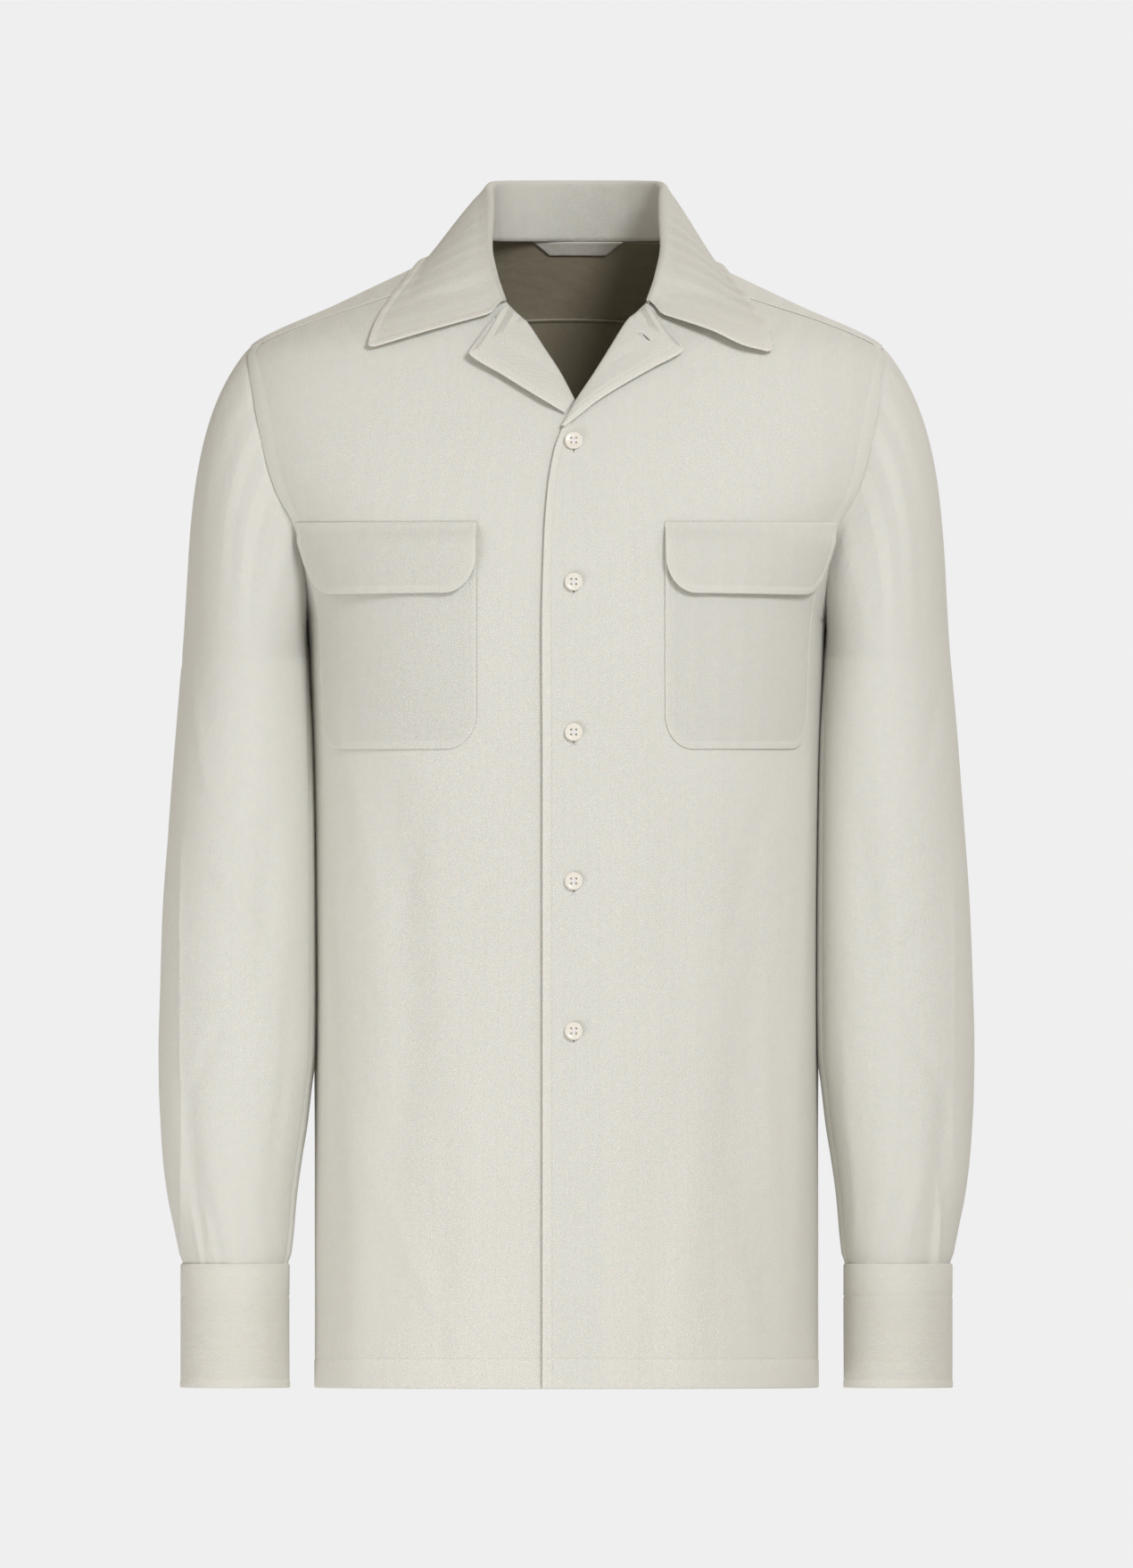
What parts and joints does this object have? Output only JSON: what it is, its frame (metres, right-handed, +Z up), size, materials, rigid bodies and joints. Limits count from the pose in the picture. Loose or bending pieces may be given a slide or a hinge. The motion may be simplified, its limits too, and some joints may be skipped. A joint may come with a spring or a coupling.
{
  "type": "safari shirt",
  "caption": "Camp-collar safari shirt in ivory herringbone cotton, filled out as if worn but hollow, with flapped chest pockets, long sleeves and buttoned cuffs.",
  "frame": {"origin": "between the wearer's shoulders, level with the top of the shoulder line, where the shirt hangs on the wearer", "axes": "+Z up, the front faces -Y, +X towards the wearer's left sleeve"},
  "size_m": [0.5122, 0.2691, 0.7587],
  "materials": {
    "herringbone_cotton": "matte ivory cotton in a fine herringbone weave, topstitched in matching thread",
    "label_tape": "matte woven tape, bare",
    "pearl_button": "pearly four-hole button, softly glossy"
  },
  "bodies": {
    "root": {"back": "herringbone_cotton", "yoke": "herringbone_cotton", "front_right": "herringbone_cotton", "front_left": "herringbone_cotton", "collar": "herringbone_cotton", "lapel_right": "herringbone_cotton", "lapel_left": "herringbone_cotton", "sleeve_right": "herringbone_cotton", "cuff_right": "herringbone_cotton", "sleeve_opening_right": "herringbone_cotton", "button_cuff_right": "pearl_button", "sleeve_left": "herringbone_cotton", "cuff_left": "herringbone_cotton", "sleeve_opening_left": "herringbone_cotton", "button_cuff_left": "pearl_button", "pocket_right": "herringbone_cotton", "pocket_flap_right": "herringbone_cotton", "pocket_left": "herringbone_cotton", "pocket_flap_left": "herringbone_cotton", "neck_label": "label_tape", "button_front_1": "pearl_button", "button_front_2": "pearl_button", "button_front_3": "pearl_button", "button_front_4": "pearl_button", "button_front_5": "pearl_button"}
  },
  "joints": []
}
